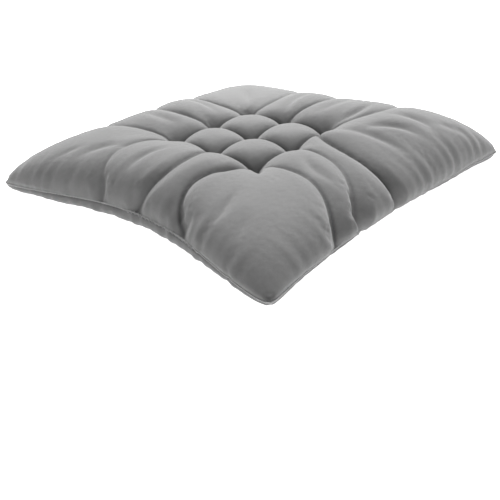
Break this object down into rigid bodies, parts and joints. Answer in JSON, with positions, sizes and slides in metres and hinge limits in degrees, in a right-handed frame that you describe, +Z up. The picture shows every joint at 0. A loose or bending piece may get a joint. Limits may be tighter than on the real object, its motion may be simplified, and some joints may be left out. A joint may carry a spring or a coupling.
{
  "type": "chair seat pad",
  "caption": "Square fibre-filled chair seat pad with knife-edge seams, tufted puffs, pointed corners and tape ties along the back edge.",
  "frame": {"origin": "middle of the pad's footprint, on the surface it rests on", "axes": "+Z up through the pad, +Y towards the edge with the ties, which goes against the chair's back, +X to the right of a sitter"},
  "size_m": [0.39, 0.4405, 0.0603],
  "materials": {
    "cover_cloth": "matte",
    "fibre": "matte",
    "tufting_thread": "matte",
    "sewing_thread": "matte",
    "tie_tape": "matte"
  },
  "bodies": {
    "root": {"top_panel": "cover_cloth", "bottom_panel": "cover_cloth", "fibre_fill": "fibre", "tuft_thread_front_left": "tufting_thread", "tuft_thread_front_middle": "tufting_thread", "tuft_thread_front_right": "tufting_thread", "tuft_thread_centre_left": "tufting_thread", "tuft_thread_centre_middle": "tufting_thread", "tuft_thread_centre_right": "tufting_thread", "tuft_thread_back_left": "tufting_thread", "tuft_thread_back_middle": "tufting_thread", "tuft_thread_back_right": "tufting_thread", "edge_seam_thread": "sewing_thread", "closing_seam_thread": "sewing_thread", "tie_tack_left": "sewing_thread", "tie_tack_right": "sewing_thread", "tie_left_outer": "tie_tape", "tie_left_inner": "tie_tape", "tie_right_outer": "tie_tape", "tie_right_inner": "tie_tape"}
  },
  "joints": []
}
